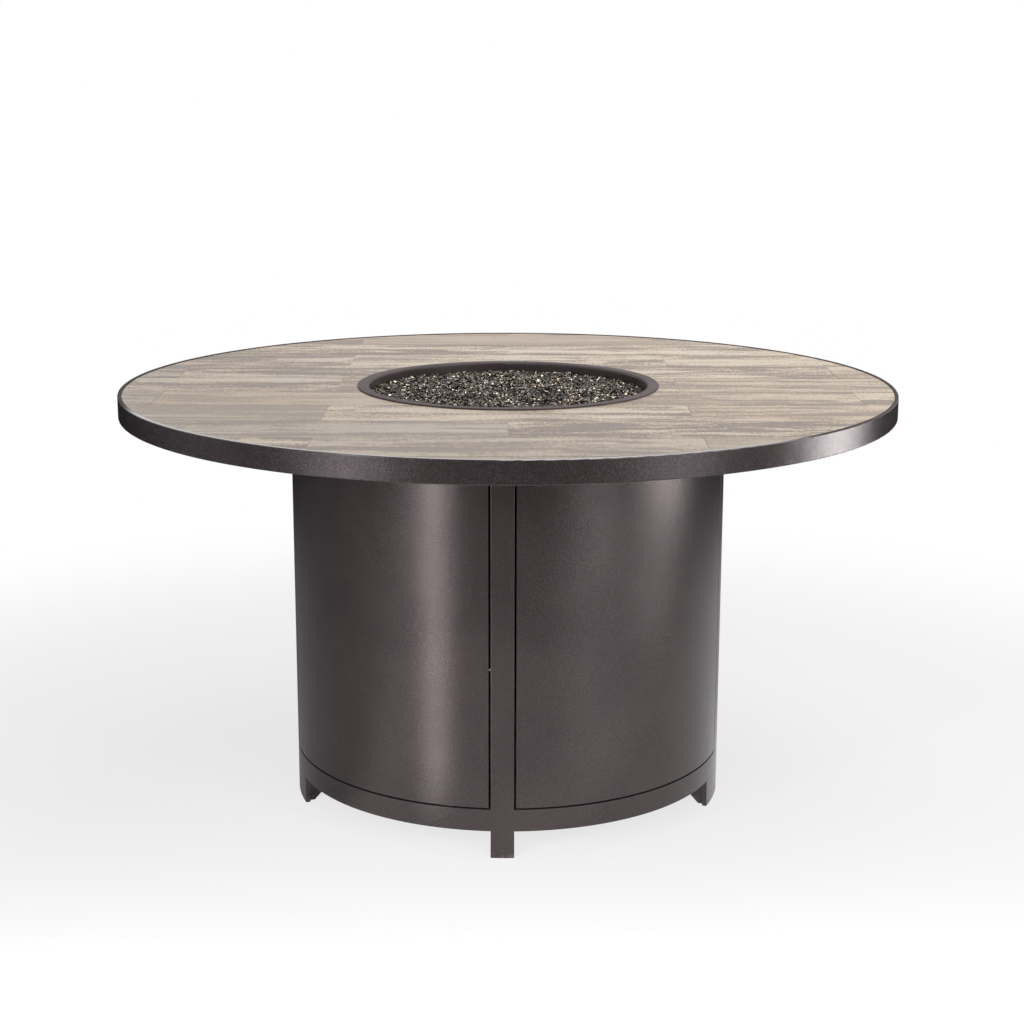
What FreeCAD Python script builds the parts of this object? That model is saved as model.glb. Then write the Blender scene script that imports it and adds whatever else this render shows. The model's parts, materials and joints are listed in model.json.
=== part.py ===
# Round fire pit table: a tiled top in a rolled metal rim, a gas burner bowl at its centre,
# and a drum base of rings, posts, pillars and curved panels, one of which is a door.
# Millimetres, +Z up, origin on the floor under the table's centre, front post towards -Y.
import FreeCAD, Part
import math
import os

# Overall sizes
top_radius = 685.8
table_height = 742.0
base_radius = 387.35

# Directions, as angles counted from +X
right_angle = 0.0
rear_angle = 90.0
left_angle = 180.0
front_angle = 270.0

# Table top
rim_height = 38.1
rim_wall = 6.35
rim_round = 1.5
tile_drop = 1.0
tile_thickness = 9.5
tile_length = 600.0
tile_width = 143.9
tile_joint = 1.5
tile_lay_angle = 1.25
tile_edge_gap = 1.2
grout_drop = 0.8
mortar_thickness = 1.5
backer_thickness = 12.7
backer_gap = 0.3
spoke_count = 8
spoke_width = 38.1
spoke_wall = 2.4
hub_ring_gap = 18.0
hub_ring_wall = 6.35

# Burner bowl
bowl_radius = 248.0
bowl_wall = 2.0
bowl_depth = 86.4
bowl_flange_width = 20.75
bowl_flange_rise = 2.8
bowl_lip_round = 4.0
bowl_floor_round = 8.0
bowl_clearance = 2.0
drain_count = 8
drain_radius = 4.0
drain_circle = 215.0
burner_circles = (85.0, 170.0)
burner_tube_radius = 8.0
burner_arm_radius = 6.4
burner_height = 20.0
burner_arm_count = 4
burner_arm_turn = 45.0
burner_hub_radius = 16.0
burner_hub_cap = 2.0
nipple_radius = 10.5
nipple_length = 30.0
locknut_flats = 34.0
locknut_height = 6.0
glass_depth_below_flange = 19.0
glass_crown = 3.5
glass_mound_rise = 4.2
glass_mound_root = 2.5
glass_mound_radius = 42.0
glass_mound_step = 80.0
glass_mound_turn = -30.0
glass_mound_variation = 0.2
glass_gap = 0.4
glass_gap_beside_burner = 4.0
glass_gap_over_burner = 3.0
electrode_radius = 3.0
electrode_height = 25.0
electrode_tip = 4.0
electrode_tip_wide = 1.8
electrode_tip_narrow = 0.6
electrode_place = 128.0
electrode_angle = 22.5
electrode_clip_thickness = 1.5
electrode_clip_width = 12.0
electrode_clip_length = 24.0
electrode_collar_height = 6.0

# Under the bowl
shield_radius = 230.0
shield_thickness = 1.5
shield_drop = 26.0
standoff_count = 4
standoff_circle = 150.0
standoff_flats = 8.0
mixer_radius = 13.0
mixer_length = 60.0
mixer_window_radius = 5.0
mixer_window_height = 20.0
elbow_radius = 12.0
elbow_branch_radius = 9.6
elbow_length = 24.0
pipe_radius = 6.35
fitting_flats = 19.0
fitting_length = 12.0

# Controls inside the door
bracket_angle = 45.0
bracket_bowl_gap = 8.0
bracket_width = 150.0
bracket_thickness = 2.5
bracket_foot = 42.0
bracket_foot_width = 76.2
bracket_screw_from_face = 12.0
bracket_screw_spacing = 20.0
bracket_edge_below_pipe = 26.0
valve_width = 38.0
valve_height = 34.0
valve_depth = 46.0
valve_round = 5.5
inlet_collar = 4.0
inlet_radius = 7.94
inlet_length = 14.0
stem_radius = 4.0
stem_insert = 15.0
stem_in_knob = 14.0
stem_end_gap = 1.0
stem_fit = 0.05
stem_hole_clearance = 1.0
knob_radius = 20.0
knob_depth = 20.0
knob_gap = 2.0
knob_grip_width = 10.0
knob_skirt = 6.0
knob_grip_radius = 17.0
knob_round = 2.0
igniter_offset = 48.0
igniter_neck_radius = 11.0
igniter_body_radius = 13.5
igniter_body_length = 44.0
bezel_radius = 15.5
bezel_thickness = 3.0
button_radius = 8.0
button_gap = 0.3
button_stand = 6.5
button_travel = 4.0
button_guide = 10.0
button_spare = 1.0
button_round = 1.5

# Drum base
ring_height = 38.1
ring_wall = 7.9
leg_height = 47.6
edge_round = 2.0
foot_edge_round = 1.0
post_width = 39.7
post_thickness = 12.7
pillar_angle = 27.0
side_foot_angle = 43.2
reveal = 3.2
panel_sheet = 2.0
panel_lip = 15.0
gusset_thickness = 6.35
gusset_toe = 10.0
gusset_inset = 12.0
shelf_thickness = 3.2
shelf_gap = 0.5
shelf_slot_count = 12
shelf_slot_width = 12.0
shelf_slot_length = 70.0
shelf_slot_circle = 240.0
shelf_slot_turn = 15.0
tank_ring_radius = 105.0
tank_ring_wall = 3.0
tank_ring_height = 19.0
clip_width = 25.0
clip_wall = 3.0
clip_overlap = 13.0
clip_grip = 24.0
clip_spread = 165.6
tab_length = 42.0
tab_width = 40.0
tab_thickness = 5.0

# Door, its hinges and its catch
knuckle_radius = 4.0
hinge_height = 50.0
hinge_end_knuckle = 15.0
hinge_leaf = 1.4
hinge_leaf_gap = 0.3
hinge_knuckle_gap = 0.5
hinge_from_end = 70.0
pin_radius = 2.0
pin_fit = 0.05
pin_head_radius = 3.2
pin_head_height = 1.5
strike_thickness = 1.5
strike_width = 30.0
strike_edge_gap = 2.0
strike_lip_margin = 1.0
catch_depth = 10.0
catch_gap = 0.3
pull_radius = 11.0
pull_stand = 16.0
pull_neck_radius = 5.0
pull_head = 8.0
pull_round = 2.0
pull_from_edge = 45.0

# Screws and bolts
bolt_radius = 4.0
bolt_hole_clearance = 0.2
bolt_head_flats = 13.0
bolt_head_height = 5.3
bolt_end = 5.0
screw_radius = 2.4
screw_head_radius = 4.5
screw_head_height = 2.5
screw_end = 2.0

# How far a cutting shape runs past the face that it cuts
past = 1.0

# Levels and radii that follow from the sizes above
rim_bottom = table_height - rim_height
tile_top = table_height - tile_drop
tile_bottom = tile_top - tile_thickness
backer_top = tile_bottom - mortar_thickness
backer_bottom = backer_top - backer_thickness
rim_inside = top_radius - rim_wall
tile_outside = rim_inside - tile_edge_gap
tile_pitch = tile_length + tile_joint
row_pitch = tile_width + tile_joint
planks_beside_middle = math.ceil(tile_outside / tile_pitch)
rows_beside_middle = math.ceil((tile_outside - tile_width / 2) / row_pitch)
bowl_outside = bowl_radius + bowl_wall
hole_radius = bowl_outside + bowl_clearance
hub_ring_radius = bowl_outside + hub_ring_gap
hub_ring_outside = hub_ring_radius + hub_ring_wall
bracket_distance = bowl_outside + bracket_bowl_gap + bracket_foot
flange_top = tile_top + bowl_flange_rise
bowl_floor = flange_top - bowl_depth
bowl_underside = bowl_floor - bowl_wall
shield_top = bowl_underside - shield_drop
pipe_level = bowl_underside - mixer_length - elbow_radius
base_inside = base_radius - ring_wall
ring_top = leg_height + ring_height
upper_ring_bottom = rim_bottom - ring_height
panel_bottom = ring_top + reveal
panel_top = upper_ring_bottom - reveal
shelf_top = leg_height + shelf_thickness
post_inside = base_radius - post_thickness
post_edge_angle = math.degrees((post_width / 2 + reveal) / base_radius)
reveal_angle = math.degrees(reveal / base_radius)
panel_far_angle = 90 - pillar_angle / 2 - reveal_angle
plate_back = bracket_distance - bracket_thickness
bracket_bottom = pipe_level - bracket_edge_below_pipe
hinge_angle = pillar_angle / 2 + reveal_angle / 2
hinge_radius = base_radius + knuckle_radius
tab_bolt_place = base_inside - tab_length / 2
bolt_hole_radius = bolt_radius + bolt_hole_clearance
stem_bore_end = plate_back - stem_insert - stem_end_gap
strike_bottom = panel_top - panel_lip + strike_lip_margin
bracket_screw_place = plate_back - bracket_screw_from_face
valve_inner_face = plate_back - valve_depth
valve_bottom = pipe_level - valve_height / 2
inlet_level = valve_bottom - inlet_collar - inlet_length
knob_near = bracket_distance + knob_gap
neck_end = bracket_distance + bezel_thickness

origin = FreeCAD.Vector(0, 0, 0)
up = FreeCAD.Vector(0, 0, 1)
outward = FreeCAD.Vector(1, 0, 0)


# Small helpers
def at(x, y, z):
    return FreeCAD.Vector(x, y, z)


def turned(shape, angle):
    copy = shape.copy()
    copy.rotate(origin, up, angle)
    return copy


def moved(shape, x, y, z):
    copy = shape.copy()
    copy.translate(at(x, y, z))
    return copy


def around(shape, angles):
    return [turned(shape, angle) for angle in angles]


def even_angles(count, start=0.0):
    return [start + index * 360.0 / count for index in range(count)]


def drum(radius, bottom, top, x=0.0, y=0.0):
    return Part.makeCylinder(radius, top - bottom, at(x, y, bottom), up)


def hoop(inside, outside, bottom, top):
    return drum(outside, bottom, top).cut(drum(inside, bottom, top))


def block(x0, x1, y0, y1, z0, z1):
    return Part.makeBox(x1 - x0, y1 - y0, z1 - z0, at(x0, y0, z0))


def face_of(points):
    return Part.Face(Part.makePolygon([at(*point) for point in points + points[:1]]))


# A sector of a hoop, from one angle to another, counted from +X
def sector(inside, outside, bottom, top, start, end):
    profile = face_of([(inside, 0, bottom), (outside, 0, bottom), (outside, 0, top), (inside, 0, top)])
    return turned(profile.revolve(origin, up, end - start), start)


# A rod along the outward direction, from one distance to another
def rod_out(radius, near, far, y=0.0, z=0.0):
    return Part.makeCylinder(radius, far - near, at(near, y, z), outward)


def hexagon(flats, bottom, top):
    reach = flats / 2 / math.cos(math.pi / 6)
    corners = [(reach * math.cos(math.radians(a)), reach * math.sin(math.radians(a)), bottom)
               for a in range(0, 360, 60)]
    return face_of(corners).extrude(at(0, 0, top - bottom))


# The same hexagon lying along the outward direction
def hexagon_out(flats, near, far, z):
    nut = hexagon(flats, near, far)
    nut.rotate(origin, at(0, 1, 0), 90)
    return moved(nut, 0, 0, z)


# Rounds the upright edges that stand at a given distance from the centre
def round_uprights(shape, radius, distance, shortest):
    edges = []
    for edge in shape.Edges:
        first, last = edge.Vertexes[0].Point, edge.Vertexes[-1].Point
        upright = abs(first.z - last.z) > shortest and math.hypot(first.x - last.x, first.y - last.y) < 0.001
        if upright and abs(math.hypot(first.x, first.y) - distance) < 0.01:
            edges.append(edge)
    return shape.makeFillet(radius, edges)


# The rim is a flat bar rolled on edge, with its top and bottom corners eased
def make_top_rim():
    rim = hoop(rim_inside, top_radius, rim_bottom, table_height)
    circles = [edge for edge in rim.Edges if abs(edge.BoundBox.XMax - top_radius) < 0.01
               and abs(edge.BoundBox.ZLength) < 0.01]
    return rim.makeFillet(rim_round, circles)


def make_top_hub_ring():
    return hoop(hub_ring_radius, hub_ring_outside, rim_bottom, backer_bottom)


# Radial tubes, coped to the hub ring and to the rim
def make_top_spokes():
    half = spoke_width / 2
    tube = block(0, top_radius, -half, half, rim_bottom, backer_bottom)
    bore = block(0, top_radius, spoke_wall - half, half - spoke_wall,
                 rim_bottom + spoke_wall, backer_bottom - spoke_wall)
    spoke = tube.cut(bore).common(hoop(hub_ring_outside, rim_inside, rim_bottom, backer_bottom))
    hole = drum(bolt_hole_radius, rim_bottom - past, rim_bottom + spoke_wall + past, tab_bolt_place)
    spokes = around(spoke.cut(hole), even_angles(spoke_count))
    screw_holes = Part.makeCompound(bracket_screw_shanks(rim_bottom - past, rim_bottom + spoke_wall + past))
    return [one.cut(screw_holes) for one in spokes]


def make_backer_board():
    return hoop(hole_radius, rim_inside - backer_gap, backer_bottom, backer_top)


# One row of planks, counted from the middle row: every other row is shifted by half a plank
def make_tile_row(row):
    low = row * row_pitch - tile_width / 2
    high = row * row_pitch + tile_width / 2
    shift = row % 2 / 2
    disc = hoop(hole_radius, tile_outside, tile_bottom, tile_top)
    planks = []
    for step in range(-planks_beside_middle, planks_beside_middle + 1):
        centre = (step + shift) * tile_pitch
        plank = block(centre - tile_length / 2, centre + tile_length / 2, low, high, tile_bottom, tile_top)
        planks += turned(plank, tile_lay_angle).common(disc).Solids
    return planks


# Mortar bed with the grout that stands between the planks
def make_tile_grout(rows):
    bed = hoop(hole_radius, rim_inside - backer_gap, backer_top, tile_top - grout_drop)
    return bed.cut(Part.makeCompound([plank for row in rows for plank in row]))


# Spun bowl: a flange that lies on the tiles, a rolled lip, a wall and a floor with drains
def make_burner_bowl():
    outside = bowl_radius + bowl_flange_width
    chamfer = bowl_wall / 2
    lip = bowl_lip_round
    foot = bowl_floor_round
    over = line_through([(outside, tile_top), (outside, flange_top - chamfer),
                         (outside - chamfer, flange_top), (bowl_radius + lip, flange_top)])
    wall = line_through([(bowl_radius, flange_top - lip), (bowl_radius, bowl_floor + foot)])
    floor = line_through([(bowl_radius - foot, bowl_floor), (nipple_radius, bowl_floor),
                          (nipple_radius, bowl_underside), (bowl_radius - foot, bowl_underside)])
    under = line_through([(bowl_radius + bowl_wall, bowl_floor + foot),
                          (bowl_radius + bowl_wall, flange_top - bowl_wall),
                          (outside - bowl_wall, flange_top - bowl_wall),
                          (outside - bowl_wall, tile_top), (outside, tile_top)])
    section = [over, bend(bowl_radius + lip, flange_top - lip, lip, 90, 180), wall,
               bend(bowl_radius - foot, bowl_floor + foot, foot, 0, -90), floor,
               bend(bowl_radius - foot, bowl_floor + foot, foot + bowl_wall, -90, 0), under]
    edges = [edge for piece in section for edge in piece.Edges]
    bowl = Part.Face(Part.Wire(edges)).revolve(origin, up, 360)
    drain = drum(drain_radius, bowl_underside - past, bowl_floor + past, drain_circle)
    return bowl.cut(Part.makeCompound(around(drain, even_angles(drain_count))))


# Straight runs in the upright plane through +X, given by distance and height
def line_through(points):
    return Part.makePolygon([at(x, 0, z) for x, z in points])


# An arc in the upright plane through +X, about a centre, from one angle to another
def bend(x, z, radius, start, end):
    def point(angle):
        return at(x + radius * math.cos(math.radians(angle)), 0, z + radius * math.sin(math.radians(angle)))
    return Part.Arc(point(start), point((start + end) / 2), point(end)).toShape()


# Two ring tubes on a cross of arms, a hub and the nipple that goes down through the bowl
def make_ring_burner():
    level = bowl_floor + burner_height
    reach = burner_circles[-1]
    burner = drum(burner_hub_radius, bowl_floor + locknut_height, level + burner_tube_radius + burner_hub_cap)
    arm_angles = even_angles(burner_arm_count, burner_arm_turn)
    for arm in around(rod_out(burner_arm_radius, 0, reach, 0, level), arm_angles):
        burner = burner.fuse(arm)
    for circle in burner_circles:
        burner = burner.fuse(Part.makeTorus(circle, burner_tube_radius, at(0, 0, level), up))
    return burner.fuse(drum(nipple_radius, bowl_underside - nipple_length / 2, level))


def make_burner_locknut():
    return hexagon(locknut_flats, bowl_floor, bowl_floor + locknut_height).cut(
        drum(nipple_radius, bowl_floor, bowl_floor + locknut_height))


# The glass lies to the bowl's floor round the burner and is crowned over it
def make_fire_glass():
    edge = bowl_radius - glass_gap
    rim_level = flange_top - glass_depth_below_flange
    well = burner_circles[-1] + burner_tube_radius + glass_gap_beside_burner
    cover = bowl_floor + burner_height + burner_tube_radius + glass_gap_over_burner
    toe = bowl_floor_round
    crown = Part.Arc(at(0, 0, rim_level + glass_crown),
                     at(edge / 2, 0, rim_level + glass_crown * 3 / 4), at(edge, 0, rim_level))
    outline = Part.makePolygon([at(edge, 0, rim_level), at(edge, 0, bowl_floor + toe),
                                at(edge - toe, 0, bowl_floor), at(well, 0, bowl_floor),
                                at(well, 0, cover), at(0, 0, cover), at(0, 0, rim_level + glass_crown)])
    wire = Part.Wire([crown.toShape()] + outline.Edges)
    bed = Part.Face(wire).revolve(origin, up, 360)
    for mound in make_glass_mounds(edge, rim_level):
        bed = bed.fuse(mound)
    return bed


# Low mounds on the crown, set out on a spiral that keeps them evenly apart
def make_glass_mounds(edge, rim_level):
    golden_angle = 180 * (3 - math.sqrt(5))
    count = int(math.pi * ((edge - glass_mound_radius) / glass_mound_step) ** 2 + 0.5)
    mounds = []
    for index in range(count):
        distance = glass_mound_step * math.sqrt((index + 0.5) / math.pi)
        level = rim_level + glass_crown * (1 - (distance / edge) ** 2)
        rise = glass_mound_rise * (1 - glass_mound_variation * (1 - math.cos(index)))
        depth = rise + glass_mound_root
        radius = (glass_mound_radius ** 2 + depth ** 2) / (2 * depth)
        latitude = math.degrees(math.asin((radius - depth) / radius))
        cap = Part.makeSphere(radius, at(distance, 0, level + rise - radius), up, latitude, 90, 360)
        mounds.append(turned(cap, glass_mound_turn + index * golden_angle))
    return mounds


def make_spark_electrode():
    top = bowl_floor + electrode_height
    rod = drum(electrode_radius, bowl_floor + electrode_clip_thickness, top, electrode_place)
    foot = at(electrode_place, 0, top)
    tip = Part.makeCone(electrode_tip_wide, electrode_tip_narrow, electrode_tip, foot, up)
    return turned(rod.fuse(tip), electrode_angle)


# A strip on the bowl's floor with a collar that holds the electrode's foot
def make_electrode_clip():
    half = electrode_clip_width / 2
    strip_top = bowl_floor + electrode_clip_thickness
    strip = block(electrode_place - half, electrode_place - half + electrode_clip_length, -half, half,
                  bowl_floor, strip_top)
    collar = drum(electrode_radius + electrode_clip_thickness, strip_top, strip_top + electrode_collar_height,
                  electrode_place)
    bore = drum(electrode_radius, strip_top, strip_top + electrode_collar_height, electrode_place)
    return turned(strip.fuse(collar.cut(bore)), electrode_angle)


def make_heat_shield():
    return hoop(mixer_radius + bowl_clearance, shield_radius, shield_top - shield_thickness, shield_top)


def make_shield_standoffs():
    post = moved(hexagon(standoff_flats, shield_top, bowl_underside), standoff_circle, 0, 0)
    return around(post, even_angles(standoff_count))


# Air mixer: a tube with side windows that screws onto the burner's nipple
def make_air_mixer():
    bottom = bowl_underside - mixer_length
    body = drum(mixer_radius, bottom, bowl_underside)
    socket = drum(nipple_radius, bowl_underside - nipple_length / 2, bowl_underside)
    mixer = body.cut(socket)
    height = bottom + mixer_window_height
    window = rod_out(mixer_window_radius, mixer_radius / 2, mixer_radius + past, 0, height)
    return mixer.cut(Part.makeCompound(around(window, [bracket_angle - 90, bracket_angle + 90])))


def make_gas_elbow():
    upright = drum(elbow_radius, pipe_level - elbow_radius, pipe_level + elbow_radius)
    branch = rod_out(elbow_branch_radius, 0, elbow_length, 0, pipe_level)
    return turned(upright.fuse(branch), bracket_angle)


def make_gas_pipe():
    return turned(rod_out(pipe_radius, elbow_length, valve_inner_face, 0, pipe_level), bracket_angle)


def make_flare_nuts():
    first = hexagon_out(fitting_flats, elbow_length, elbow_length + fitting_length, pipe_level)
    second = hexagon_out(fitting_flats, valve_inner_face - fitting_length, valve_inner_face, pipe_level)
    bore = rod_out(pipe_radius, 0, bracket_distance, 0, pipe_level)
    return [turned(nut.cut(bore), bracket_angle) for nut in (first, second)]


# Sheet bracket that hangs from a spoke: an upright plate with a foot bent inwards
def make_control_bracket():
    half = bracket_width / 2
    plate = block(plate_back, bracket_distance, -half, half, bracket_bottom, rim_bottom)
    foot = block(bracket_distance - bracket_foot, bracket_distance, -bracket_foot_width / 2,
                 bracket_foot_width / 2, rim_bottom - bracket_thickness, rim_bottom)
    near, far = plate_back - past, bracket_distance + past
    stem_hole = rod_out(stem_radius + stem_hole_clearance, near, far, 0, pipe_level)
    neck_hole = rod_out(igniter_neck_radius, near, far, igniter_offset, pipe_level)
    bracket = turned(plate.fuse(foot).cut(Part.makeCompound([stem_hole, neck_hole])), bracket_angle)
    shanks = bracket_screw_shanks(rim_bottom - bracket_thickness - past, rim_bottom + past)
    return bracket.cut(Part.makeCompound(shanks))


# The two screws side by side through the bracket's foot and into the spoke above
def bracket_screw_shanks(bottom, top, radius=screw_radius):
    sides = (-bracket_screw_spacing / 2, bracket_screw_spacing / 2)
    return [turned(drum(radius, bottom, top, bracket_screw_place, side), bracket_angle) for side in sides]


def make_bracket_screws():
    seat = rim_bottom - bracket_thickness
    shanks = bracket_screw_shanks(seat, rim_bottom + spoke_wall + screw_end)
    heads = bracket_screw_shanks(seat - screw_head_height, seat, screw_head_radius)
    return [head.fuse(shank) for head, shank in zip(heads, shanks)]


# Valve: a block with rounded edges, a bore for the stem and a threaded inlet below
def make_gas_valve():
    half = valve_width / 2
    body = block(valve_inner_face, plate_back, -half, half, valve_bottom, pipe_level + valve_height / 2)
    edges = [edge for edge in body.Edges if edge.BoundBox.XLength > valve_depth / 2]
    body = body.makeFillet(valve_round, edges)
    middle = (valve_inner_face + plate_back) / 2
    collar = moved(hexagon(fitting_flats, valve_bottom - inlet_collar, valve_bottom), middle, 0, 0)
    inlet = drum(inlet_radius, inlet_level, valve_bottom, middle)
    bore = rod_out(stem_radius + stem_fit, stem_bore_end, plate_back + past, 0, pipe_level)
    return turned(body.fuse(collar).fuse(inlet).cut(bore), bracket_angle)


def make_valve_stem():
    return turned(rod_out(stem_radius, plate_back - stem_insert, knob_near + stem_in_knob, 0, pipe_level),
                  bracket_angle)


# Knob: a round skirt with a bar to grip
def make_control_knob():
    skirt_end = knob_near + knob_skirt
    knob_end = knob_near + knob_depth
    skirt = rod_out(knob_radius, knob_near, skirt_end, 0, pipe_level)
    skirt = skirt.makeFillet(knob_round, circles_at(skirt, skirt_end))
    barrel = rod_out(knob_grip_radius, skirt_end, knob_end, 0, pipe_level)
    slab = block(knob_near, knob_end, -knob_grip_width / 2, knob_grip_width / 2,
                 pipe_level - knob_radius, pipe_level + knob_radius)
    bore = rod_out(stem_radius, knob_near - past, knob_near + stem_in_knob, 0, pipe_level)
    return turned(skirt.fuse(barrel.common(slab)).cut(bore), bracket_angle)


# The flat edges of a turned piece that lie at one distance along the outward direction
def circles_at(shape, distance):
    return [edge for edge in shape.Edges
            if abs(edge.BoundBox.XMin - distance) < 0.01 and edge.BoundBox.XLength < 0.01]


# Spark module: a battery barrel behind the plate and a neck through it
def make_igniter_module():
    back = plate_back - igniter_body_length
    guide_end = neck_end - button_guide - button_travel - button_spare
    barrel = rod_out(igniter_body_radius, back, plate_back, igniter_offset, pipe_level)
    neck = rod_out(igniter_neck_radius, plate_back, neck_end, igniter_offset, pipe_level)
    guide = rod_out(button_radius + button_gap, guide_end, neck_end + past, igniter_offset, pipe_level)
    return turned(barrel.fuse(neck).cut(guide), bracket_angle)


def make_igniter_bezel():
    ring = rod_out(bezel_radius, bracket_distance, neck_end, igniter_offset, pipe_level)
    neck = rod_out(igniter_neck_radius, bracket_distance, neck_end, igniter_offset, pipe_level)
    return turned(ring.cut(neck), bracket_angle)


def make_igniter_button():
    face = neck_end + button_stand
    button = rod_out(button_radius, neck_end - button_guide, face, igniter_offset, pipe_level)
    return turned(button.makeFillet(button_round, circles_at(button, face)), bracket_angle)


# Post: a bar from the floor to the top, lapped into both rings so that its face is flush
def make_post(angle, rings):
    half = post_width / 2
    bar = block(post_inside, base_radius, -half, half, 0, rim_bottom).common(drum(base_radius, 0, rim_bottom))
    corner = max(math.hypot(v.Point.x, v.Point.y) for v in bar.Vertexes)
    bar = round_uprights(bar, edge_round, corner, leg_height)
    return turned(bar, angle).cut(Part.makeCompound(rings))


def make_pillar(middle):
    half = pillar_angle / 2
    plate = sector(base_inside, base_radius, ring_top, upper_ring_bottom, -half, half)
    return turned(round_uprights(plate, edge_round, base_radius, leg_height), middle)


def make_side_foot(middle):
    half = side_foot_angle / 2
    plate = sector(base_inside, base_radius, 0, leg_height, -half, half)
    return turned(round_uprights(plate, foot_edge_round, base_radius, leg_height / 2), middle)


# Gussets stand behind each foot, toe on the floor, and slant up and inwards to carry the shelf
def make_foot_gussets():
    spread = side_foot_angle / 2 - math.degrees(gusset_inset / base_inside)
    behind_posts = gusset_from(post_inside, block(0, post_inside, -post_width, post_width, 0, leg_height))
    behind_plates = gusset_from(base_inside, drum(base_inside, 0, leg_height))
    side_angles = [right_angle - spread, right_angle + spread, left_angle - spread, left_angle + spread]
    return around(behind_posts, [rear_angle, front_angle]) + around(behind_plates, side_angles)


# One gusset, trimmed by the shape that fills the space inside its foot
def gusset_from(outside, space):
    toe = outside - gusset_toe
    face = -gusset_thickness / 2
    side = face_of([(outside + past, face, 0), (outside + past, face, leg_height),
                    (toe - leg_height, face, leg_height), (toe, face, 0)])
    return side.extrude(at(0, gusset_thickness, 0)).common(space)


# Floor of the drum, notched round the posts, with slots that let leaked gas drain away
def make_base_shelf():
    shelf = drum(base_inside - shelf_gap, leg_height, shelf_top)
    side = post_width / 2 + shelf_gap
    notch = block(post_inside - shelf_gap, base_radius, -side, side, leg_height, shelf_top)
    half = shelf_slot_width / 2
    near = shelf_slot_circle - shelf_slot_length / 2 + half
    far = shelf_slot_circle + shelf_slot_length / 2 - half
    slot = block(near, far, -half, half, leg_height, shelf_top)
    for end in (near, far):
        slot = slot.fuse(drum(half, leg_height, shelf_top, end))
    notches = around(notch, [rear_angle, front_angle])
    cuts = notches + around(slot, even_angles(shelf_slot_count, shelf_slot_turn))
    return shelf.cut(Part.makeCompound(cuts))


def make_tank_ring():
    return hoop(tank_ring_radius, tank_ring_radius + tank_ring_wall, shelf_top, shelf_top + tank_ring_height)


# Curved tray: a sheet with returned edges, and lips behind its top and bottom edges
def make_panel(start, end):
    tray = sector(base_inside, base_radius, panel_bottom, panel_top, start, end)
    inset = math.degrees(panel_sheet / base_radius)
    hollow = sector(base_inside + panel_sheet, base_radius - panel_sheet, panel_bottom + panel_sheet,
                    panel_top - panel_sheet, start + inset, end - inset)
    mouth = sector(base_inside - past, base_inside + panel_sheet, panel_bottom + panel_lip,
                   panel_top - panel_lip, start + inset, end - inset)
    return tray.cut(hollow.fuse(mouth))


def clip_angles(start, end):
    middle = (start + end) / 2
    beside = math.degrees(clip_spread / base_inside)
    return [middle - beside, middle + beside]


# Levels of the screws through the clips: below and above each fixed panel's lips
def clip_levels():
    return [(ring_top - clip_grip, panel_bottom + clip_overlap, panel_bottom + panel_lip / 2),
            (panel_top - clip_overlap, upper_ring_bottom + clip_grip, panel_top - panel_lip / 2)]


def screw_hole(level):
    return rod_out(screw_radius, base_inside - clip_wall - past, base_inside + panel_sheet + past, 0, level)


def make_panel_clips(spans):
    half = math.degrees(clip_width / 2 / base_inside)
    clips = []
    for low, high, level in clip_levels():
        clip = sector(base_inside - clip_wall, base_inside, low, high, -half, half).cut(screw_hole(level))
        clips += around(clip, [angle for span in spans for angle in clip_angles(*span)])
    return clips


# A flat screw head meets the clip's curved face at the head's rim
def make_panel_screws(spans):
    screws = []
    seat = math.sqrt((base_inside - clip_wall) ** 2 - screw_head_radius ** 2)
    for low, high, level in clip_levels():
        shank = rod_out(screw_radius, seat, base_inside + panel_sheet, 0, level)
        head = rod_out(screw_head_radius, seat - screw_head_height, seat, 0, level)
        screws += around(head.fuse(shank), [angle for span in spans for angle in clip_angles(*span)])
    return screws


def make_fixed_panel(start, end):
    holes = [turned(screw_hole(level), angle) for low, high, level in clip_levels()
             for angle in clip_angles(start, end)]
    return make_panel(start, end).cut(Part.makeCompound(holes))


# Tabs inside the upper ring take the bolts that hold the top
def make_top_tabs():
    half = tab_width / 2
    tab = block(base_inside - tab_length, base_radius, -half, half, rim_bottom - tab_thickness, rim_bottom)
    hole = drum(bolt_hole_radius, rim_bottom - tab_thickness - past, rim_bottom + past, tab_bolt_place)
    return around(tab.common(drum(base_inside, 0, table_height)).cut(hole), tab_angles())


# The front and rear spokes stand over the posts, so the tabs leave those two out
def tab_angles():
    return [angle for angle in even_angles(spoke_count)
            if min(abs(angle - rear_angle), abs(angle - front_angle)) > 1]


def make_top_bolts():
    seat = rim_bottom - tab_thickness
    bolt = hexagon(bolt_head_flats, seat - bolt_head_height, seat).fuse(
        drum(bolt_radius, seat, rim_bottom + spoke_wall + bolt_end))
    return around(moved(bolt, tab_bolt_place, 0, 0), tab_angles())


def hinge_levels():
    return [panel_bottom + hinge_from_end, panel_top - hinge_from_end - hinge_height]


# Butt hinge leaves lie in the reveal beside the door; their knuckles stand outside it
def make_hinge_leaf(inner_face, outer_face, own, other, bore):
    leaf = block(base_inside, hinge_radius, inner_face, outer_face, 0, hinge_height)
    for bottom, top in other:
        leaf = leaf.cut(drum(knuckle_radius + hinge_leaf_gap, bottom, top, hinge_radius))
    for bottom, top in own:
        leaf = leaf.fuse(drum(knuckle_radius, bottom, top, hinge_radius))
    leaf = turned(leaf.cut(drum(bore, -past, hinge_height + past, hinge_radius)), hinge_angle)
    return [moved(leaf, 0, 0, level) for level in hinge_levels()]


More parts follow.
